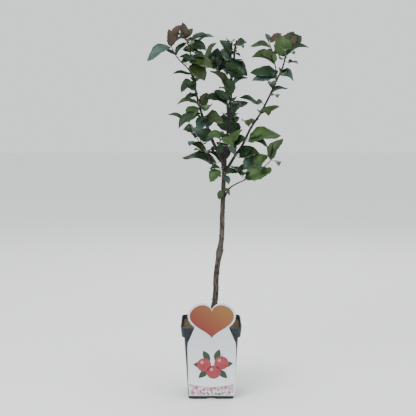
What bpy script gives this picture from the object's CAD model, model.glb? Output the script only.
"""The looks of a young potted apple tree: bark, leaves and stalks, a printed label, growing mix and a pot."""

import logging
import math
import random
from dataclasses import dataclass
from enum import Enum

import bmesh
import bpy
from mathutils import Matrix, Vector, noise


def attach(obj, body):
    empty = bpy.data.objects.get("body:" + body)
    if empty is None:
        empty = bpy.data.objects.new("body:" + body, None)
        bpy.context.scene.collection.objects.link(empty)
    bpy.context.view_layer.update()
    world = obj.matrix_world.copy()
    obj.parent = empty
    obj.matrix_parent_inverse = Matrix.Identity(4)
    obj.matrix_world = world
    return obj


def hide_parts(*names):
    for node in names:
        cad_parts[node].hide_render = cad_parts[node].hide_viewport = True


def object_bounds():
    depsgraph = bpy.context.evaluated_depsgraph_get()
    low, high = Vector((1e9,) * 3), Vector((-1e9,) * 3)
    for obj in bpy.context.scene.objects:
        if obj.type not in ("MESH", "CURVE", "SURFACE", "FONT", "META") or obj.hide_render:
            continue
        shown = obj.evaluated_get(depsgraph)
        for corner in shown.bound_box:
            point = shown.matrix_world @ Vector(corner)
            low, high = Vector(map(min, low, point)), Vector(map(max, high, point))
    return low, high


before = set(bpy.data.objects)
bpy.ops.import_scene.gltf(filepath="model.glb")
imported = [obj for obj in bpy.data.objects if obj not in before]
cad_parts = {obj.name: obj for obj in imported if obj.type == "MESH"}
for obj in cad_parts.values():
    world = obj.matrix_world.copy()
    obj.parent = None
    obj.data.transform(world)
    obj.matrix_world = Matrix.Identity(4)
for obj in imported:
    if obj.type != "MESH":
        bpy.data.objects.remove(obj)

CAD_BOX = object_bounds()
LOG = logging.getLogger("apple_tree")
EYE = Vector((-0.0092, -2.637, 0.845))
EYE_PITCH = math.radians(6.38)
LENS = 78.99
SENSOR = 36.0
SEED = 11
# About a full turn in radians, the range of a random heading
ANY_TURN = 6.3


@dataclass(frozen=True)
class Limb:
    """One tapering limb: its route, and its radii in centimetres at its base and its tip."""

    route: tuple
    base: float
    tip: float


# Routes as (across, height, depth) in centimetres. Across and height are read where the line of sight crosses
# the trunk's plane, and depth is how far behind that plane the point lies. They are the routes of the solids,
# but the leader starts 5 mm lower, inside the trunk.
TRUNK_ROUTE = (
    (0.2, 20.4, 0.0), (0.5, 24.8, 0.1), (1.1, 27.3, 0.1), (1.4, 31.2, 0.0), (1.4, 33.8, -0.2),
    (1.8, 37.9, -0.5), (2.5, 42.4, -0.6), (3.1, 46.5, -0.4), (3.2, 51.0, 0.0), (3.4, 57.0, 0.3),
    (3.8, 67.0, 0.3),
)
LIMBS = {
    "leader": Limb(
        ((3.8, 66.6, 0.3), (4.0, 70.4, 0.6), (4.7, 74.7, 1.4), (5.2, 82.3, 2.9), (5.6, 88.0, 4.0),
         (5.8, 92.6, 5.0), (6.1, 95.6, 5.5), (5.6, 97.5, 6.0), (5.6, 99.8, 6.7), (5.9, 102.5, 7.5)),
        0.62, 0.30),
    "second_leader": Limb(
        ((6.0, 94.6, 5.3), (6.5, 97.5, 5.2), (6.7, 100.4, 4.9), (7.3, 103.1, 4.4)),
        0.33, 0.28),
    "left_bough": Limb(
        ((3.7, 66.2, 0.3), (3.2, 69.0, 0.0), (1.6, 72.0, -0.8), (0.3, 74.7, -1.6), (-0.9, 78.0, -2.6),
         (-2.4, 81.3, -3.6), (-3.4, 84.5, -4.5), (-4.3, 88.2, -5.3), (-5.1, 92.5, -6.2),
         (-5.5, 97.3, -7.0), (-6.5, 101.6, -7.6), (-7.5, 103.9, -8.0)),
        0.60, 0.18),
    "right_bough": Limb(
        ((4.0, 65.6, 0.3), (5.5, 67.9, 0.4), (6.9, 70.2, 0.7), (9.2, 73.6, 1.5), (11.3, 78.0, 2.4),
         (14.1, 82.3, 3.3), (16.8, 87.5, 4.2), (18.7, 91.8, 4.9), (20.2, 94.9, 5.5), (21.1, 98.0, 6.0),
         (21.5, 100.1, 6.4)),
        0.45, 0.20),
    "right_fork": Limb(
        ((18.6, 91.5, 4.9), (18.5, 94.6, 3.8), (18.0, 97.3, 2.6), (17.0, 101.0, 0.8), (16.2, 102.8, -0.4)),
        0.21, 0.12),
    "left_side_shoot": Limb(
        ((-5.1, 91.9, -6.2), (-5.9, 94.0, -7.2), (-7.1, 95.6, -8.3), (-8.6, 97.0, -9.4),
         (-9.9, 98.5, -10.3), (-10.8, 100.1, -11.0), (-11.4, 101.3, -11.5)),
        0.21, 0.13),
    "leader_side_shoot": Limb(
        ((5.6, 89.6, 4.4), (4.7, 92.2, 5.6), (2.5, 94.3, 7.5), (0.7, 96.4, 9.4), (-1.8, 98.2, 11.5)),
        0.21, 0.12),
    "lower_left_branch": Limb(
        ((2.7, 64.2, 0.5), (1.0, 66.4, 1.6), (-0.3, 68.9, 2.8), (-1.5, 71.4, 4.2), (-3.1, 73.6, 5.8),
         (-4.3, 75.8, 7.2), (-5.0, 77.0, 8.2)),
        0.23, 0.12),
    "lower_right_branch": Limb(
        ((3.9, 58.3, 0.1), (5.1, 60.5, -1.2), (6.8, 61.8, -2.6), (9.7, 63.2, -4.6), (11.8, 64.5, -5.8),
         (14.2, 66.1, -7.0), (17.0, 68.6, -8.2), (17.9, 70.2, -8.8)),
        0.25, 0.12),
    "back_shoot": Limb(
        ((4.8, 75.3, 1.6), (4.9, 77.6, 5.0), (5.1, 80.4, 9.0), (5.3, 83.5, 13.0)),
        0.23, 0.14),
    "front_shoot": Limb(
        ((1.9, 71.4, -0.7), (2.0, 72.8, -3.5), (2.5, 74.3, -7.5), (2.9, 75.0, -10.0)),
        0.22, 0.14),
}


class LeafKind(Enum):
    """The kinds of leaf, which differ in colour."""

    DARK = "dark"
    OLIVE = "olive"
    LIGHT = "light"
    UNDERSIDE = "underside"
    BRONZE = "bronze"


# Colours of each kind of leaf
LEAF_COLOURS = {
    LeafKind.DARK: (0.008, 0.024, 0.008),
    LeafKind.OLIVE: (0.020, 0.034, 0.009),
    LeafKind.LIGHT: (0.026, 0.054, 0.013),
    LeafKind.UNDERSIDE: (0.030, 0.058, 0.044),
    LeafKind.BRONZE: (0.038, 0.024, 0.016),
}

DARK, OLIVE, LIGHT, UNDERSIDE, BRONZE = LeafKind

# The leaves that show from the front, each as across and height of its stalk end, across and height of its
# tip and their depth in centimetres, then half its width as a share of its length, before Foliage.fullness
# widens it, and its kind
LEAVES = (
    (-11.4, 101.3, -12.1, 106.3, -11.5, 0.24, BRONZE), (-10.8, 102.6, -8.2, 107.4, -9.5, 0.26, BRONZE),
    (-8.2, 103.5, -8.2, 108.2, -8.3, 0.26, BRONZE), (-7.2, 103.6, -5.2, 106.4, -7.5, 0.24, OLIVE),
    (-11.6, 101.2, -18.4, 97.2, -12.5, 0.20, UNDERSIDE), (-9.9, 98.6, -14.6, 100.9, -12.2, 0.12, DARK),
    (-7.4, 104.0, -11.0, 101.7, -8.6, 0.26, DARK), (-6.9, 102.4, -10.0, 98.6, -9.0, 0.22, DARK),
    (-8.2, 100.4, -3.4, 99.6, -7.0, 0.22, DARK), (-6.5, 101.6, -1.4, 100.2, -5.4, 0.30, DARK),
    (-5.8, 102.8, -1.0, 104.2, -3.8, 0.34, DARK), (-4.2, 102.8, 0.9, 104.0, -3.0, 0.18, UNDERSIDE),
    (-8.6, 97.0, -4.4, 97.6, -9.5, 0.26, DARK), (-9.2, 98.4, -5.2, 96.6, -10.2, 0.24, DARK),
    (-6.4, 96.6, 0.6, 95.0, -10.0, 0.40, OLIVE), (-6.2, 96.0, -1.8, 91.6, -10.4, 0.38, OLIVE),
    (-5.6, 93.5, -11.2, 93.6, -7.8, 0.10, DARK), (-5.0, 90.8, -8.6, 88.2, -8.4, 0.44, DARK),
    (-4.8, 88.8, -7.6, 91.4, -7.6, 0.36, DARK), (-4.4, 87.2, -7.6, 86.6, -6.8, 0.30, UNDERSIDE),
    (0.7, 96.4, 1.8, 101.0, 10.5, 0.34, DARK), (1.6, 95.6, -1.6, 99.6, 11.0, 0.30, DARK),
    (2.5, 94.6, 5.0, 101.4, 12.0, 0.26, UNDERSIDE), (-1.6, 98.2, 1.6, 102.4, 6.0, 0.20, OLIVE),
    (5.6, 99.0, 2.4, 103.2, 5.2, 0.22, DARK), (5.6, 97.2, 3.0, 99.2, 6.2, 0.26, UNDERSIDE),
    (5.8, 92.6, 8.8, 97.8, 2.4, 0.42, DARK), (6.1, 95.0, 10.4, 93.0, 2.2, 0.36, DARK),
    (5.8, 90.4, 10.6, 92.6, 1.8, 0.18, UNDERSIDE), (7.3, 101.6, 10.2, 102.4, 2.6, 0.34, DARK),
    (6.9, 99.4, 8.4, 98.4, 3.0, 0.26, DARK), (5.3, 88.6, -0.6, 94.6, 0.4, 0.16, OLIVE),
    (5.4, 87.4, 4.2, 92.8, 1.2, 0.26, DARK), (4.9, 84.6, -2.4, 87.2, -0.8, 0.26, DARK),
    (5.0, 86.0, 0.6, 88.8, -0.4, 0.22, DARK), (-2.6, 84.0, -1.2, 88.4, -1.8, 0.24, OLIVE),
    (18.2, 96.0, 11.4, 98.2, -2.2, 0.34, OLIVE), (17.6, 98.0, 14.2, 99.6, -2.8, 0.38, OLIVE),
    (17.4, 99.4, 18.2, 96.8, -2.6, 0.30, LIGHT), (17.0, 101.0, 11.0, 101.4, 5.8, 0.20, OLIVE),
    (18.8, 93.0, 11.0, 93.8, 1.0, 0.22, DARK), (19.0, 92.4, 11.6, 91.6, 0.6, 0.20, UNDERSIDE),
    (18.4, 94.8, 16.6, 91.6, 1.4, 0.30, UNDERSIDE), (16.4, 102.8, 15.4, 105.0, -2.4, 0.26, UNDERSIDE),
    (16.8, 102.4, 20.2, 105.0, -3.0, 0.24, BRONZE), (21.1, 98.4, 19.6, 104.6, 7.0, 0.34, LIGHT),
    (21.5, 100.0, 25.8, 104.2, 9.0, 0.40, DARK), (21.4, 100.4, 23.4, 105.6, 8.6, 0.30, BRONZE),
    (21.3, 99.0, 28.0, 101.0, 4.0, 0.16, DARK), (19.6, 93.4, 23.6, 91.6, 10.0, 0.40, UNDERSIDE),
    (16.9, 87.8, 22.2, 89.4, 7.0, 0.18, UNDERSIDE), (13.6, 84.8, 8.0, 86.8, 9.0, 0.24, DARK),
    (13.8, 85.0, 13.6, 86.6, 9.4, 0.44, UNDERSIDE), (13.8, 82.0, 19.8, 84.2, -1.0, 0.16, OLIVE),
    (-3.6, 85.2, -10.0, 84.8, -8.6, 0.16, OLIVE), (-3.5, 84.0, -6.8, 79.8, -7.4, 0.34, LIGHT),
    (-3.0, 82.4, -9.4, 78.0, -8.0, 0.26, DARK), (-5.0, 77.0, -8.2, 77.6, 9.4, 0.40, DARK),
    (-4.6, 76.2, -3.2, 78.6, 9.0, 0.34, UNDERSIDE), (-6.6, 80.0, -12.6, 82.0, 10.4, 0.10, DARK),
    (-1.8, 80.2, 3.6, 79.6, -7.0, 0.44, OLIVE), (-1.6, 81.0, -3.8, 77.4, -5.4, 0.34, UNDERSIDE),
    (-1.2, 78.0, 1.8, 82.0, -4.4, 0.22, UNDERSIDE), (0.2, 74.8, -4.2, 76.6, 2.4, 0.42, DARK),
    (-1.4, 71.6, -6.0, 73.8, 2.8, 0.20, OLIVE), (5.0, 77.0, 5.2, 83.0, 8.4, 0.42, DARK),
    (5.2, 80.0, 7.2, 75.6, 9.4, 0.38, DARK), (5.2, 81.6, 8.6, 85.4, 10.4, 0.34, DARK),
    (5.3, 83.0, 10.8, 85.4, 12.0, 0.22, DARK), (5.0, 79.0, 8.2, 81.2, 11.0, 0.34, UNDERSIDE),
    (2.9, 75.0, 6.6, 72.2, -12.0, 0.42, LIGHT), (2.6, 74.6, -1.2, 76.0, -11.6, 0.40, LIGHT),
    (2.2, 73.4, 2.6, 70.8, -8.0, 0.34, DARK), (6.0, 72.6, 10.4, 75.2, -3.4, 0.40, DARK),
    (6.4, 72.0, 9.2, 77.8, -2.6, 0.26, LIGHT), (6.0, 71.0, 7.4, 73.6, -3.6, 0.36, UNDERSIDE),
    (10.6, 74.2, 20.2, 76.0, -4.0, 0.26, LIGHT), (10.9, 75.2, 15.4, 76.4, -2.8, 0.30, DARK),
    (11.2, 74.4, 16.4, 72.6, -3.6, 0.28, DARK), (17.0, 69.0, 20.8, 75.2, -10.2, 0.20, OLIVE),
    (17.2, 69.2, 17.6, 74.0, -9.6, 0.18, DARK), (8.0, 69.6, 14.2, 70.6, -4.4, 0.30, OLIVE),
    (8.2, 70.2, 11.8, 72.6, -4.2, 0.34, DARK), (9.4, 66.4, 14.6, 68.8, -3.6, 0.36, UNDERSIDE),
    (12.6, 66.6, 16.4, 70.4, -5.0, 0.32, LIGHT), (6.6, 65.4, 13.6, 66.0, -1.4, 0.20, DARK),
    (9.8, 63.4, 17.6, 65.8, -9.2, 0.26, LIGHT), (9.6, 64.0, 12.6, 62.8, -8.8, 0.22, DARK),
    (1.2, 67.8, -8.6, 69.6, 6.6, 0.18, DARK), (1.6, 67.6, -3.6, 70.6, 6.2, 0.18, OLIVE),
    (3.2, 68.2, -1.0, 71.6, 4.4, 0.16, DARK), (2.7, 66.6, -0.6, 66.4, -2.8, 0.22, DARK),
    (2.7, 66.0, -0.4, 62.6, -3.2, 0.36, LIGHT), (4.0, 64.8, 8.0, 65.4, -2.8, 0.30, DARK),
    (3.9, 64.4, 5.0, 61.8, -2.2, 0.26, UNDERSIDE), (3.2, 71.2, 1.4, 74.2, 4.2, 0.38, DARK),
    (4.2, 69.2, 5.2, 72.8, 4.6, 0.38, DARK), (3.5, 60.2, 2.4, 57.4, -1.9, 0.30, OLIVE),
    (3.6, 60.6, 5.4, 58.6, -1.4, 0.26, LIGHT),
)


def placed(across: float, height: float, depth: float) -> Vector:
    """The point at this depth on the line of sight through the trunk's plane.

    Args:
        across: Centimetres to the right, on the trunk's plane.
        height: Centimetres up, on the trunk's plane.
        depth: Centimetres behind that plane.

    Returns:
        The point in metres.
    """
    on_plane = Vector((across, 0.0, height)) / 100
    return EYE + (on_plane - EYE) * (depth / 100 - EYE.y) / -EYE.y


def smooth_route(points: list[Vector], samples: int) -> list[Vector]:
    """Read a smooth curve at even steps.

    Args:
        points: The points that the curve passes through.
        samples: How many steps it is read in.

    Returns:
        The points read.
    """
    padded = [2 * points[0] - points[1], *points, 2 * points[-1] - points[-2]]
    curve = []
    for step in range(samples + 1):
        place = step / samples * (len(points) - 1)
        span = min(int(place), len(points) - 2)
        t = place - span
        before, start, end, after = padded[span:span + 4]
        curve.append(0.5 * (2 * start + (end - before) * t + (2 * before - 5 * start + 4 * end - after) * t**2
                            + (3 * start - before - 3 * end + after) * t**3))
    return curve


def limb_line(route: tuple, samples: int) -> list[Vector]:
    """Read the middle line of a limb or of the trunk.

    Args:
        route: Its points, as across, height and depth in centimetres.
        samples: How many steps it is read in.

    Returns:
        The points read, in metres.
    """
    return smooth_route([placed(*point) for point in route], samples)


def add_object(name: str, data: object) -> bpy.types.Object:
    """Put a new object in the scene.

    Args:
        name: Its name.
        data: Its mesh, light or camera.

    Returns:
        The new object.
    """
    item = bpy.data.objects.new(name, data)
    bpy.context.scene.collection.objects.link(item)
    return item


def dress(node: str, material: bpy.types.Material) -> None:
    """Give a CAD node its finish.

    Args:
        node: The node's name.
        material: Its finish.
    """
    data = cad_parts[node].data
    data.materials.clear()
    data.materials.append(material)
    LOG.info("%s: dressed", node)


def finish_object(shape: bmesh.types.BMesh, name: str, material: bpy.types.Material,
                  replaced: tuple[str, ...] = ()) -> bpy.types.Object:
    """Turn a bmesh into a piece that rides on the plant's one body.

    Args:
        shape: The finished shape, in place.
        name: The piece's name.
        material: Its finish.
        replaced: The CAD nodes that it stands for.

    Returns:
        The new piece.
    """
    mesh = bpy.data.meshes.new(name)
    shape.to_mesh(mesh)
    shape.free()
    mesh.materials.append(material)
    mesh.shade_smooth()
    piece = add_object(name, mesh)
    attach(piece, "root")
    if replaced:
        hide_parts(*replaced)
    LOG.info("%s: %d faces", name, len(mesh.polygons))
    return piece


# The colour sockets of a Mix node, which share their names with its other sockets
MIX_SHARE, MIX_FIRST, MIX_SECOND, MIX_RESULT = 0, 6, 7, 2


class Socket:
    """A node's output, with operators that add Math nodes."""

    def __init__(self, nodes: "Nodes", link: object) -> None:
        """Keep the node builder and the output."""
        self.nodes = nodes
        self.link = link

    def _math(self, operation: str, other: object) -> "Socket":
        """Add one Math node."""
        return self.nodes.add("ShaderNodeMath", {"operation": operation}, {0: self, 1: other})

    def __add__(self, other: object) -> "Socket":
        """Sum."""
        return self._math("ADD", other)

    def __mul__(self, other: object) -> "Socket":
        """Product."""
        return self._math("MULTIPLY", other)

    def __sub__(self, other: object) -> "Socket":
        """Difference."""
        return self._math("SUBTRACT", other)


class Nodes:
    """Builds one material's nodes."""

    def __init__(self, name: str, colour: tuple, roughness: float) -> None:
        """Start a material.

        Args:
            name: The material's name.
            colour: Its plain colour, until one is linked.
            roughness: Its plain roughness, until one is linked.
        """
        self.material = bpy.data.materials.new(name)
        self.material.use_nodes = True
        self.tree = self.material.node_tree
        self.shader = self.tree.nodes["Principled BSDF"]
        self.shader.inputs["Base Color"].default_value = (*colour, 1.0)
        self.shader.inputs["Roughness"].default_value = roughness

    def add(self, kind: str, settings: dict, values: dict, output: object = 0) -> Socket:
        """Add one node.

        Args:
            kind: The node's type.
            settings: Its settings.
            values: Values or links of its sockets.
            output: The output that is returned.

        Returns:
            That output.
        """
        node = self.tree.nodes.new(kind)
        for key, value in settings.items():
            setattr(node, key, value)
        for key, value in values.items():
            if isinstance(value, Socket):
                self.tree.links.new(value.link, node.inputs[key])
            else:
                node.inputs[key].default_value = value
        return Socket(self, node.outputs[output])

    def place(self) -> Socket:
        """Object coordinates."""
        return self.add("ShaderNodeTexCoord", {}, {}, "Object")

    def noise(self, scale: float, detail: float = 4.0, stretch: tuple = (1, 1, 1)) -> Socket:
        """Noise on Object coordinates.

        Args:
            scale: How fine it is.
            detail: How many finer layers it has.
            stretch: Its share of that fineness along each axis.

        Returns:
            The noise, from 0 to 1.
        """
        turned = self.add("ShaderNodeMapping", {}, {"Vector": self.place(), "Scale": stretch}, "Vector")
        values = {"Vector": turned, "Scale": scale, "Detail": detail}
        return self.add("ShaderNodeTexNoise", {}, values, "Fac")

    def mix(self, share: Socket, one: tuple, two: tuple) -> Socket:
        """Mix two colours.

        Args:
            share: How much of the second colour shows.
            one: The first colour.
            two: The second colour.

        Returns:
            The mixed colour.
        """
        values = {MIX_SHARE: share, MIX_FIRST: (*one, 1.0), MIX_SECOND: (*two, 1.0)}
        return self.add("ShaderNodeMix", {"data_type": "RGBA"}, values, MIX_RESULT)

    def drive(self, name: str, value: Socket) -> None:
        """Link a value to the shader."""
        self.tree.links.new(value.link, self.shader.inputs[name])

    def relief(self, height: Socket, distance: float, strength: float = 0.6) -> None:
        """Bump the surface.

        Args:
            height: The height at each place.
            distance: How high the highest place stands, in metres.
            strength: How much of the relief shows.
        """
        values = {"Height": height, "Distance": distance, "Strength": strength}
        self.drive("Normal", self.add("ShaderNodeBump", {}, values, "Normal"))


@dataclass(frozen=True)
class MottledFinish:
    """A finish of two colours mixed by noise, with relief."""

    name: str
    dark: tuple
    light: tuple
    roughness: float
    scale: float
    relief: float
    stretch: tuple = (1.0, 1.0, 1.0)
    gloss: float = 0.25
    detail: float = 5.0
    threshold: float = 0.36
    contrast: float = 3.2
    roughness_spread: float = 0.24

    def material(self) -> bpy.types.Material:
        """Build the material."""
        nodes = Nodes(self.name, self.dark, self.roughness)
        nodes.shader.inputs["Specular IOR Level"].default_value = self.gloss
        field = nodes.noise(self.scale, self.detail, self.stretch)
        share = (field - self.threshold) * self.contrast
        nodes.drive("Base Color", nodes.mix(share, self.dark, self.light))
        lowest = self.roughness - self.roughness_spread / 2
        nodes.drive("Roughness", field * self.roughness_spread + lowest)
        nodes.relief(field, self.relief)
        return nodes.material


BARK = MottledFinish("bark", (0.016, 0.013, 0.012), (0.090, 0.078, 0.066), 0.90, 160, 0.0012, (1, 1, 0.3))
YOUNG_BARK = MottledFinish("young_bark", (0.008, 0.006, 0.007), (0.036, 0.026, 0.027), 0.75, 220, 0.0005,
                           (1, 1, 0.3))
GREEN_STALK = MottledFinish("leaf_stalk", (0.120, 0.140, 0.060), (0.240, 0.230, 0.120), 0.55, 300, 0.0002)
MIX_FINISH = MottledFinish("growing_mix", (0.022, 0.014, 0.008), (0.130, 0.085, 0.048), 0.95, 190, 0.0020)
CHIP_FINISH = MottledFinish("bark_chips", (0.035, 0.022, 0.012), (0.240, 0.170, 0.090), 0.90, 240, 0.0008)
POT_FINISH = MottledFinish("pot_plastic", (0.011, 0.015, 0.020), (0.018, 0.025, 0.032), 0.44, 90, 0.0002)


# Knots on the trunk: how far up it, to which side, and how wide for its radius
KNOTS = ((0.22, -1, 0.30), (0.45, 1, 0.26), (0.60, 1, 0.28), (0.71, -1, 0.30), (0.85, 1, 0.24))
# How far a knot reaches out and how wide it is there, as shares of the trunk's radius and of its own size
KNOT_PROFILE = ((0.4, 1.3), (0.9, 1.1), (1.2, 0.8), (1.42, 0.3))


@dataclass
class Wood:
    """The trunk and the boughs as swept meshes with bark relief."""

    trunk_sides: int = 20
    limb_sides: int = 12
    knot_sides: int = 10
    trunk_steps: int = 170
    steps_per_span: int = 12
    trunk_foot: float = 0.204
    trunk_length: float = 0.466
    foot_radius: float = 0.0090
    taper: float = 0.0026
    flare: float = 0.0042
    flare_height: float = 0.016
    graft: float = 0.0026
    graft_level: float = 0.4220
    graft_height: float = 0.014
    collar: float = 0.0012
    collar_share: float = 14
    bud_swelling: float = 0.10
    bud_spacing: float = 0.9
    trunk_relief: float = 0.09
    limb_relief: float = 0.07
    knot_relief: float = 0.08
    grain_across: float = 420
    grain_along: float = 95
    fine_grain: float = 2.3
    fine_grain_share: float = 0.5
    limb_taper: float = 0.8
    bud_sharpness: int = 6
    knot_forward: float = 0.5
    knot_rise: float = 0.35

    def radius(self, height: float) -> float:
        """Work out the trunk's radius from its taper, root flare and graft.

        Args:
            height: The level in metres.

        Returns:
            The radius in metres.
        """
        above = height - self.trunk_foot
        part = above / self.trunk_length
        flare = self.flare * math.exp(-above / self.flare_height)
        graft = self.graft * math.exp(-(((height - self.graft_level) / self.graft_height) ** 2))
        return self.foot_radius - self.taper * part + flare + graft

    def sweep(self, shape: bmesh.types.BMesh, route: list[Vector], radii: list[float], relief: float,
              sides: int) -> None:
        """Sweep one closed limb into a shape.

        Args:
            shape: The shape that takes the limb.
            route: Its middle line.
            radii: Its radius at each point.
            relief: How far the bark stands in and out, as a share of the radius.
            sides: Corners round it.
        """
        side = Vector((1.0, 0.0, 0.0))
        rows = []
        for step, centre in enumerate(route):
            ahead = (route[min(step + 1, len(route) - 1)] - route[max(step - 1, 0)]).normalized()
            side = (side - side.dot(ahead) * ahead).normalized()
            up = ahead.cross(side)
            row = []
            for corner in range(sides):
                turn = 2 * math.pi * corner / sides
                out = math.cos(turn) * side + math.sin(turn) * up
                where = centre + out * radii[step]
                grain = Vector((where.x * self.grain_across, where.y * self.grain_across,
                                where.z * self.grain_along))
                push = noise.noise(grain) + self.fine_grain_share * noise.noise(grain * self.fine_grain)
                row.append(shape.verts.new(centre + out * radii[step] * (1 + relief * push)))
            rows.append(row)
        for lower, upper in zip(rows, rows[1:]):
            for here in range(sides):
                after = (here + 1) % sides
                shape.faces.new((lower[here], lower[after], upper[after], upper[here]))
        shape.faces.new(rows[0][::-1])
        shape.faces.new(rows[-1])

    def build_trunk(self) -> None:
        """Make the trunk, with its flare, its graft and its knots."""
        shape = bmesh.new()
        route = limb_line(TRUNK_ROUTE, self.trunk_steps)
        radii = [self.radius(point.z) for point in route]
        self.sweep(shape, route, radii, self.trunk_relief, self.trunk_sides)
        for part, way, size in KNOTS:
            centre = route[int(part * self.trunk_steps)]
            out = Vector((way, -self.knot_forward, self.knot_rise)).normalized()
            radius = self.radius(centre.z)
            knot = [centre + out * radius * reach for reach, _ in KNOT_PROFILE]
            widths = [radius * size * width for _, width in KNOT_PROFILE]
            self.sweep(shape, knot, widths, self.knot_relief, self.knot_sides)
        finish_object(shape, "trunk_bark", BARK.material(), ("trunk",))

    def build_limbs(self) -> None:
        """Make every bough and shoot, with swellings along it where its buds are."""
        shape = bmesh.new()
        for limb in LIMBS.values():
            steps = self.steps_per_span * (len(limb.route) - 1)
            route = limb_line(limb.route, steps)
            radii = []
            for step in range(steps + 1):
                part = step / steps
                wave = max(0.0, math.cos(step * self.bud_spacing))
                bud = self.bud_swelling * wave**self.bud_sharpness
                collar = self.collar * math.exp(-part * self.collar_share)
                plain = (limb.base + (limb.tip - limb.base) * part**self.limb_taper) / 100
                radii.append(plain * (1 + bud) + collar)
            self.sweep(shape, route, radii, self.limb_relief, self.limb_sides)
        finish_object(shape, "bough_bark", YOUNG_BARK.material(), tuple(LIMBS))


@dataclass
class Foliage:
    """Every leaf and its stalk, by kind."""

    stations: int = 9
    serration: float = 0.05
    ripple: float = 0.05
    ripple_pace: float = 7
    fold: tuple = (0.25, 0.55)
    curl: tuple = (0.06, 0.16)
    widest: float = 0.80
    bluntness: float = 0.75
    edge_lift: float = 1.05
    fullness: float = 1.22
    thickness: float = 0.0004
    inset: float = 0.004
    stalk_steps: int = 8
    stalk_sides: int = 5
    stalk_radius: float = 0.0011
    stalk_taper: float = 0.0003
    stalk_arch: float = 0.12
    tip_depth: float = 1.6
    face_across: float = 0.3
    face_front: tuple = (-0.9, -0.3)
    face_up: float = 0.75
    sprays_per_span: int = 3
    bare_steps: int = 2
    bare_part: int = 3
    spray_turn: float = math.radians(137.5)
    spray_spread: float = 0.35
    spray_rise: tuple = (-0.25, 0.45)
    spray_gap: tuple = (0.012, 0.022)
    spray_droop: tuple = (-0.5, 0.2)
    spray_length: tuple = (0.036, 0.052)
    spray_share: tuple = (0.28, 0.36)
    spray_face: tuple = (0.1, 0.1, 1.0)
    least_depth: float = 0.55
    climb_cost: float = 0.4
    limb_reading: int = 10
    trunk_reading: int = 60
    trunk_leafy_from: int = 45
    lightening: float = 1.7
    deep_limbs: tuple[str, ...] = ("leader", "left_bough", "right_bough", "back_shoot", "front_shoot",
                                   "lower_left_branch", "lower_right_branch", "leader_side_shoot")

    def blade(self, shape: bmesh.types.BMesh, start: Vector, tip: Vector, up: Vector, share: float,
              rng: random.Random) -> None:
        """One leaf: folded along its midrib, arched along its length, with a coarsely toothed edge.

        Args:
            shape: The shape that takes the leaf.
            start: Where the blade meets its stalk.
            tip: Its tip.
            up: The side that its upper face looks to.
            share: Half its width as a share of its length.
            rng: Seeded random numbers.
        """
        along = tip - start
        length = along.length
        ahead = along.normalized()
        side = ahead.cross(up).normalized()
        above = side.cross(ahead).normalized()
        fold = rng.uniform(*self.fold)
        curl = rng.uniform(*self.curl) * length
        wave = rng.uniform(0.0, ANY_TURN)
        rows = []
        for station in range(self.stations + 1):
            t = station / self.stations
            swell = math.sin(math.pi * t**self.widest) ** self.bluntness if 0 < t < 1 else 0.0
            width = share * length * swell
            rib = start + ahead * length * t + above * curl * math.sin(math.pi * t)
            row = [rib]
            for way in (-1, 1):
                tooth = 1 + self.serration * (1 if station % 2 else -1)
                ripple = self.ripple * length * math.sin(wave + self.ripple_pace * t) * (width > 0)
                inner = rib + side * way * width * 0.5 + above * width * 0.5 * fold
                lift = width * fold * self.edge_lift + ripple
                edge = rib + side * way * width * tooth + above * lift
                row.extend((inner, edge))
            across = (row[2], row[1], row[0], row[3], row[4]) if width > 0 else (rib,)
            rows.append([shape.verts.new(point) for point in across])
        for lower, upper in zip(rows, rows[1:]):
            if len(lower) == 1 or len(upper) == 1:
                fan, point = (upper, lower[0]) if len(lower) == 1 else (lower, upper[0])
                for one, two in zip(fan, fan[1:]):
                    corners = (point, two, one) if len(lower) == 1 else (one, two, point)
                    shape.faces.new(corners)
                continue
            for spot in range(len(lower) - 1):
                shape.faces.new((lower[spot], lower[spot + 1], upper[spot + 1], upper[spot]))

    def stalk(self, stalks: bmesh.types.BMesh, wood: Wood, root: Vector, start: Vector) -> None:
        """Make one leaf stalk.

        Args:
            stalks: The shape that takes the stalk.
            wood: What sweeps it.
            root: Where it leaves the limb.
            start: The foot of the blade.
        """
        arch = Vector((0.0, 0.0, self.stalk_arch * (root - start).length))
        route = smooth_route([root, (root + start) / 2 + arch, start], self.stalk_steps)
        radii = [self.stalk_radius - self.stalk_taper * step / self.stalk_steps
                 for step in range(self.stalk_steps + 1)]
        wood.sweep(stalks, route, radii, 0.0, self.stalk_sides)

    def spray(self, limb: str, shapes: dict, stalks: bmesh.types.BMesh, wood: Wood,
              rng: random.Random) -> None:
        """Leaves in a spiral up one limb, turned towards the back or the front of the crown.

        Args:
            limb: The limb's name.
            shapes: The shape of each kind of leaf.
            stalks: The shape that takes the stalks.
            wood: What sweeps a stalk.
            rng: Seeded random numbers.
        """
        points = LIMBS[limb].route
        count = self.sprays_per_span * (len(points) - 1)
        route = limb_line(points, count)
        lowest = self.bare_steps + count // self.bare_part
        for step in range(lowest, count + 1):
            turn = step * self.spray_turn
            rise = rng.uniform(*self.spray_rise)
            out = Vector((self.spray_spread * math.cos(turn), math.sin(turn), rise)).normalized()
            if abs(out.y) < self.least_depth:
                continue
            start = route[step] + out * rng.uniform(*self.spray_gap)
            ahead = (out + Vector((0.0, 0.0, rng.uniform(*self.spray_droop)))).normalized()
            tip = start + ahead * rng.uniform(*self.spray_length)
            if not all(low + self.inset < spot < high - self.inset
                       for low, spot, high in zip(CAD_BOX[0], tip, CAD_BOX[1])):
                continue
            kind = rng.choice((DARK, DARK, OLIVE, LIGHT, UNDERSIDE))
            share = rng.uniform(*self.spray_share)
            self.blade(shapes[kind], start, tip, Vector(self.spray_face), share, rng)
            self.stalk(stalks, wood, route[step], start)

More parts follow.
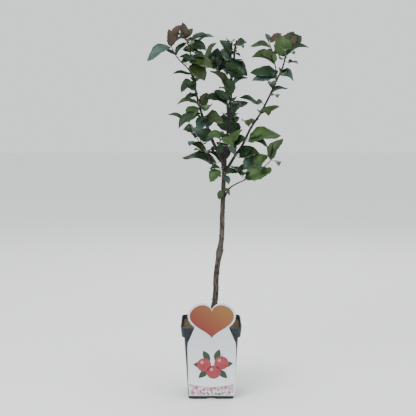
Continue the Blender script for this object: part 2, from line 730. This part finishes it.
    def nearest_limb(self, point: Vector, lines: list[Vector]) -> Vector:
        """Find where a leaf grows from: the nearest place on a limb, and rather below it than above.

        Args:
            point: The foot of the blade.
            lines: Places along every limb.

        Returns:
            One of those places.
        """
        return min(lines, key=lambda spot: (spot - point).length
                   + self.climb_cost * max(0.0, spot.z - point.z))

    def build(self) -> None:
        """Grow the leaves that show from the front, then sprays by a seeded rule in the crown's depth."""
        rng = random.Random(SEED)
        shapes = {kind: bmesh.new() for kind in LeafKind}
        stalks = bmesh.new()
        wood = Wood()
        lines = []
        for limb in LIMBS.values():
            lines.extend(limb_line(limb.route, self.limb_reading * len(limb.route)))
        lines.extend(limb_line(TRUNK_ROUTE, self.trunk_reading)[self.trunk_leafy_from:])
        for foot_x, foot_z, tip_x, tip_z, depth, share, kind in LEAVES:
            start = placed(foot_x, foot_z, depth)
            tip = placed(tip_x, tip_z, depth + rng.uniform(-self.tip_depth, self.tip_depth))
            turned = rng.uniform(-self.face_across, self.face_across)
            up = Vector((turned, rng.uniform(*self.face_front), self.face_up))
            self.blade(shapes[kind], start, tip, up, share * self.fullness, rng)
            self.stalk(stalks, wood, self.nearest_limb(start, lines), start)
        for name in self.deep_limbs:
            self.spray(name, shapes, stalks, wood, rng)
        for kind, shape in shapes.items():
            colour = LEAF_COLOURS[kind]
            light = tuple(self.lightening * part for part in colour)
            finish = MottledFinish(f"{kind.value}_leaf", colour, light, roughness=0.48, scale=55,
                                   relief=0.0004)
            piece = finish_object(shape, f"{kind.value}_leaves", finish.material())
            self.thicken(piece)
        masses = tuple(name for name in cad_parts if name.endswith("_leaves"))
        finish_object(stalks, "leaf_stalks", GREEN_STALK.material(), masses)

    def thicken(self, piece: bpy.types.Object) -> None:
        """Give the blades their thickness, so that each leaf is a closed shape.

        Args:
            piece: The leaves of one kind.
        """
        modifier = piece.modifiers.new("thickness", "SOLIDIFY")
        modifier.thickness = self.thickness
        modifier.offset = 0.0
        for other in bpy.context.selected_objects:
            other.select_set(False)
        bpy.context.view_layer.objects.active = piece
        piece.select_set(True)
        bpy.ops.object.modifier_apply(modifier=modifier.name)


@dataclass
class Pot:
    """The pot's finish, and the growing mix in it."""

    level: float = 0.2030
    half: float = 0.0815
    corner_reach: float = 0.150
    stem_room: float = 0.016
    chips: int = 650
    chip_length: tuple = (0.002, 0.008)
    chip_width: tuple = (0.001, 0.003)
    chip_height: float = 0.0012
    chip_radius: float = 0.6
    chip_tilt: float = 0.5

    def build(self) -> None:
        """Dress the pot and lay bark chips on the growing mix."""
        dress("pot", POT_FINISH.material())
        dress("growing_mix", MIX_FINISH.material())
        rng = random.Random(SEED + 1)
        shape = bmesh.new()
        for _ in range(self.chips):
            spot = Vector((rng.uniform(-1, 1) * self.half, rng.uniform(-1, 1) * self.half, self.level))
            if spot.xy.length < self.stem_room or abs(spot.x) + abs(spot.y) > self.corner_reach:
                continue
            length = rng.uniform(*self.chip_length)
            size = Matrix.Diagonal((length, rng.uniform(*self.chip_width), self.chip_height, 1.0))
            heading = Matrix.Rotation(rng.uniform(0, ANY_TURN), 4, "Z")
            turn = heading @ Matrix.Rotation(rng.uniform(-self.chip_tilt, self.chip_tilt), 4, "X")
            bmesh.ops.create_icosphere(shape, subdivisions=1, radius=self.chip_radius,
                                       matrix=Matrix.Translation(spot) @ turn @ size)
        finish_object(shape, "bark_chips", CHIP_FINISH.material())


# A flat outline on the label, as (across, up) points in metres
Outline = list[tuple[float, float]]


@dataclass(frozen=True)
class Ink:
    """One ink on the label: its piece, its look, and how far in front of the sheet it lies."""

    piece: str
    name: str
    colour: tuple
    roughness: float
    layer: float

    def nodes(self) -> Nodes:
        """Start its material."""
        return Nodes(self.name, self.colour, self.roughness)


BOARD_FOOT = (0.74, 0.78, 0.81)
BOARD_TOP = (0.52, 0.56, 0.58)
BOARD_ROUGHNESS = 0.38
HEART_RED = (0.17, 0.018, 0.008)
HEART_OCHRE = (0.21, 0.105, 0.018)
FRUIT_DARK = (0.20, 0.010, 0.022)
FRUIT_LIGHT = (0.33, 0.055, 0.065)
FLOWER_BAND = Ink("flower_band", "band_ink", (0.42, 0.36, 0.36), 0.4, 0.00010)
HEART_LINE = Ink("heart_line", "heart_line", (0.13, 0.022, 0.014), 0.4, 0.00012)
PRINTED_LEAVES = Ink("printed_leaves", "printed_leaves", (0.014, 0.042, 0.016), 0.4, 0.00014)
PRINTED_SPRIGS = Ink("printed_sprigs", "sprig_ink", (0.10, 0.20, 0.08), 0.4, 0.00018)
PRINTED_PETALS = Ink("printed_petals", "petal_ink", (0.66, 0.60, 0.72), 0.4, 0.00022)
HEART_PRINT = Ink("heart_print", "heart_print", HEART_RED, 0.36, 0.00024)
PRINTED_FRUITS = Ink("printed_fruits", "printed_fruits", FRUIT_DARK, 0.36, 0.00026)
PRINTED_STEMS = Ink("printed_stems", "stem_ink", (0.05, 0.030, 0.015), 0.4, 0.00030)
PRINTED_BUDS = Ink("printed_buds", "bud_ink", (0.50, 0.06, 0.18), 0.4, 0.00030)
PRINTED_GLINTS = Ink("printed_glints", "glint_ink", (0.50, 0.20, 0.20), 0.36, 0.00034)

# The foot of the label's back, and the middles of its fruits
LABEL_FOOT = Vector((0.0015, -0.0697, 0.008))
FRUITS = ((-0.022, 0.098), (0.005, 0.076), (0.028, 0.104))
# A fruit's stem, seen from the fruit's middle, and the ways that the leaves round the fruits point
STEM = ((-0.0008, 0.015), (0.0008, 0.015), (0.0034, 0.026), (0.0018, 0.026))
LEAF_TURNS = (0.15, 1.25, 2.1, 3.05, 3.9, 5.5)


@dataclass
class Label:
    """The printed sheet: a heart with a border and a colour blend, a board, fruits and a flower band."""

    foot: Vector
    lean: float = math.radians(5.9)
    thickness: float = 0.0008
    heart_width: float = 0.1372
    heart_tip: float = 0.169
    heart_top: float = 0.2836
    heart_steps: int = 72
    tip_inset: float = 1.5
    border: float = 0.0058
    line_width: float = 0.0010
    board_fade: float = 5.2
    blend_across: float = 6.0
    blend_up: float = 7.0
    blend_start: float = 1.35
    fruit_radius: float = 0.0205
    blush_scale: float = 70
    blush_contrast: float = 1.4
    blush_start: float = 0.2
    glint_across: float = -0.006
    glint_up: float = 0.008
    glint_radius: float = 0.0045
    ring_across: float = 0.004
    ring_up: float = 0.095
    ring_half_width: float = 0.018
    ring_half_height: float = 0.014
    leaf_length: float = 0.040
    leaf_share: float = 0.24
    leaf_steps: int = 8
    disc_steps: int = 30
    petal_depth: float = 0.22
    petals: int = 5
    blossoms: int = 46
    blossom_radius: tuple = (0.0028, 0.0052)
    blossom_scatter: float = 0.6
    bed_half_width: float = 0.060
    bed_foot: float = 0.007
    bed_margin: float = 0.010
    band_half_width: float = 0.0625
    band_foot: float = 0.004
    band_top: float = 0.0300
    band_rise: float = 0.011
    band_rise_at: float = 0.066
    band_edge_mm: int = 64
    band_step_mm: int = 4

    def at(self, across: float, up: float, out: float) -> Vector:
        """Find a place on the leaning label.

        Args:
            across: Metres to the right of its middle.
            up: Metres up along it from its foot.
            out: Metres in front of its back.

        Returns:
            The point.
        """
        along = Vector((0.0, -math.sin(self.lean), math.cos(self.lean)))
        outward = Vector((0.0, -math.cos(self.lean), -math.sin(self.lean)))
        return self.foot + Vector((across, 0.0, 0.0)) + up * along + out * outward

    def patch(self, ink: Ink, outlines: list[Outline], nodes: Nodes) -> None:
        """Print flat outlines on the sheet.

        Args:
            ink: The ink, which names the piece and says how far it lies in front of the sheet.
            outlines: What is printed.
            nodes: The ink's material.
        """
        shape = bmesh.new()
        for outline in outlines:
            low = [shape.verts.new(self.at(x, up, self.thickness)) for x, up in outline]
            high = [shape.verts.new(self.at(x, up, self.thickness + ink.layer)) for x, up in outline]
            shape.faces.new(high)
            shape.faces.new(low[::-1])
            for here in range(len(outline)):
                after = (here + 1) % len(outline)
                shape.faces.new((low[here], low[after], high[after], high[here]))
        bmesh.ops.recalc_face_normals(shape, faces=shape.faces)
        piece = finish_object(shape, ink.piece, nodes.material)
        piece.data.shade_flat()

    def heart(self, inset: float) -> Outline:
        """Draw the heart.

        Args:
            inset: How far it is drawn in from the sheet's edge.

        Returns:
            Its outline, from its tip round both lobes.
        """
        raw = []
        for step in range(self.heart_steps):
            t = math.pi * (1 - 2 * step / self.heart_steps)
            lobes = 13 * math.cos(t) - 3.5 * math.cos(2 * t)
            raw.append((math.sin(t) ** 3, lobes - 2 * math.cos(3 * t) - math.cos(4 * t)))
        low = min(up for _, up in raw)
        high = max(up for _, up in raw)
        width = self.heart_width / 2 - inset
        tip = self.heart_tip + inset * self.tip_inset
        top = self.heart_top - inset
        return [(x * width, tip + (up - low) * (top - tip) / (high - low)) for x, up in raw]

    def disc(self, across: float, up: float, radius: float, petals: int = 0) -> Outline:
        """Draw a disc.

        Args:
            across: Its middle.
            up: Its middle.
            radius: Its radius.
            petals: How many petals its edge has, or none.

        Returns:
            Its outline.
        """
        points = []
        for step in range(self.disc_steps):
            turn = 2 * math.pi * step / self.disc_steps
            reach = radius * (1 + (self.petal_depth * math.cos(petals * turn) if petals else 0.0))
            points.append((across + reach * math.cos(turn), up + reach * math.sin(turn)))
        return points

    def leaf(self, across: float, up: float, length: float, turn: float) -> Outline:
        """Draw a pointed leaf.

        Args:
            across: Its stalk end.
            up: Its stalk end.
            length: Its length.
            turn: The way it points.

        Returns:
            Its outline.
        """
        points = []
        for way in (1, -1):
            for step in range(self.leaf_steps):
                t = step / self.leaf_steps if way > 0 else 1 - step / self.leaf_steps
                width = way * length * self.leaf_share * math.sin(math.pi * t)
                points.append((across + math.cos(turn) * length * t - math.sin(turn) * width,
                               up + math.sin(turn) * length * t + math.cos(turn) * width))
        return points

    def band_edge(self, across: float) -> float:
        """The top of the flower band, which dips in the middle."""
        return self.band_top + self.band_rise * (across / self.band_rise_at) ** 2

    def print_plain(self, ink: Ink, outlines: list[Outline]) -> None:
        """Print outlines in one plain ink."""
        self.patch(ink, outlines, ink.nodes())

    def dress_sheet(self) -> None:
        """Give the sheet and its hook their white board, greyer towards the top."""
        sheet = Nodes("label_board", BOARD_TOP, BOARD_ROUGHNESS)
        height = sheet.add("ShaderNodeSeparateXYZ", {}, {0: sheet.place()}, "Z")
        sheet.drive("Base Color", sheet.mix(height * self.board_fade, BOARD_FOOT, BOARD_TOP))
        dress("label", sheet.material)
        dress("label_hook", sheet.material)

    def print_heart(self) -> None:
        """Print the heart: a thin dark line, and a blend from red at the lower left to ochre."""
        self.print_plain(HEART_LINE, [self.heart(self.border)])
        ink = HEART_PRINT.nodes()
        across = ink.add("ShaderNodeSeparateXYZ", {}, {0: ink.place()}, "X")
        height = ink.add("ShaderNodeSeparateXYZ", {}, {0: ink.place()}, "Z")
        blend = across * self.blend_across + height * self.blend_up - self.blend_start
        ink.drive("Base Color", ink.mix(blend, HEART_RED, HEART_OCHRE))
        self.patch(HEART_PRINT, [self.heart(self.border + self.line_width)], ink)

    def print_fruits(self) -> None:
        """Print three round fruits on a ring of leaves, each with a glint and a stem."""
        leaves = []
        for turn in LEAF_TURNS:
            across = self.ring_across + self.ring_half_width * math.cos(turn)
            up = self.ring_up + self.ring_half_height * math.sin(turn)
            leaves.append(self.leaf(across, up, self.leaf_length, turn))
        self.print_plain(PRINTED_LEAVES, leaves)
        ink = PRINTED_FRUITS.nodes()
        blush = ink.noise(self.blush_scale) * self.blush_contrast - self.blush_start
        ink.drive("Base Color", ink.mix(blush, FRUIT_DARK, FRUIT_LIGHT))
        self.patch(PRINTED_FRUITS, [self.disc(x, up, self.fruit_radius) for x, up in FRUITS], ink)
        glints = [self.disc(x + self.glint_across, up + self.glint_up, self.glint_radius) for x, up in FRUITS]
        self.print_plain(PRINTED_GLINTS, glints)
        stems = [[(x + aside, up + above) for aside, above in STEM] for x, up in FRUITS]
        self.print_plain(PRINTED_STEMS, stems)

    def print_flowers(self) -> None:
        """Print the band along the foot: petals, buds and sprigs dealt out by a seeded rule."""
        rng = random.Random(SEED + 2)
        petals, buds, sprigs = [], [], []
        for step in range(self.blossoms):
            along = 2 * self.bed_half_width * (step + rng.random() * self.blossom_scatter) / self.blossoms
            x = -self.bed_half_width + along
            up = self.bed_foot + rng.random() * (self.band_edge(x) - self.bed_margin)
            pick = (petals, petals, buds, sprigs)[step % 4]
            pick.append(self.disc(x, up, rng.uniform(*self.blossom_radius), self.petals))
        band = [(-self.band_half_width, self.band_foot), (self.band_half_width, self.band_foot)]
        for x in range(self.band_edge_mm, -self.band_edge_mm - 1, -self.band_step_mm):
            band.append((x / 1000, self.band_edge(x / 1000)))
        self.print_plain(FLOWER_BAND, [band])
        self.print_plain(PRINTED_PETALS, petals)
        self.print_plain(PRINTED_BUDS, buds)
        self.print_plain(PRINTED_SPRIGS, sprigs)

    def build(self) -> None:
        """Dress the sheet and its hook, and print the heart, the fruits and the flower band."""
        self.dress_sheet()
        self.print_heart()
        self.print_fruits()
        self.print_flowers()


@dataclass(frozen=True)
class Lamp:
    """One soft square light, turned to the middle of the tree."""

    name: str
    place: tuple
    power: float
    size: float


LAMPS = (
    Lamp("key", (-1.6, -2.2, 2.6), 90, 1.8),
    Lamp("fill", (2.2, -1.6, 1.6), 26, 2.0),
    Lamp("back", (0.4, 2.4, 2.4), 34, 2.0),
)


@dataclass
class Studio:
    """The pale floor, the lights and the camera."""

    floor_reach: float = 14.0
    floor_colour: tuple = (0.90, 0.90, 0.90)
    floor_roughness: float = 0.95
    sky: tuple = (0.96, 0.98, 1.0, 1.0)
    sky_strength: float = 1.15
    middle: tuple = (0.0, 0.0, 0.55)

    def build_floor(self) -> None:
        """Lay the floor."""
        shape = bmesh.new()
        bmesh.ops.create_grid(shape, x_segments=1, y_segments=1, size=self.floor_reach)
        mesh = bpy.data.meshes.new("floor")
        shape.to_mesh(mesh)
        shape.free()
        mesh.materials.append(Nodes("floor", self.floor_colour, self.floor_roughness).material)
        floor = add_object("floor", mesh)

    def build_light(self) -> None:
        """Set the pale sky and hang the lights."""
        world = bpy.data.worlds.new("studio")
        world.use_nodes = True
        background = world.node_tree.nodes["Background"]
        background.inputs["Color"].default_value = self.sky
        background.inputs["Strength"].default_value = self.sky_strength
        bpy.context.scene.world = world
        for lamp in LAMPS:
            light = bpy.data.lights.new(lamp.name, "AREA")
            light.energy = lamp.power
            light.size = lamp.size
            holder = add_object(lamp.name, light)
            holder.location = lamp.place
            aim = Vector(self.middle) - Vector(lamp.place)
            holder.rotation_euler = aim.to_track_quat("-Z", "Y").to_euler()

    def build_camera(self) -> None:
        """Set the camera at the eye, a little tilted down."""
        data = bpy.data.cameras.new("camera")
        data.lens = LENS
        data.sensor_width = SENSOR
        camera = add_object("camera", data)
        camera.location = EYE
        camera.rotation_euler = (math.pi / 2 - EYE_PITCH, 0.0, 0.0)
        bpy.context.scene.camera = camera

    def build(self) -> None:
        """Lay the floor, hang the lights and set the camera."""
        self.build_floor()
        self.build_light()
        self.build_camera()


def main() -> None:
    """Build the pieces in order."""
    logging.basicConfig(level=logging.INFO, format="%(message)s")
    Studio().build()
    wood = Wood()
    wood.build_trunk()
    wood.build_limbs()
    Foliage().build()
    Pot().build()
    Label(foot=LABEL_FOOT).build()


if __name__ == "__main__":
    main()
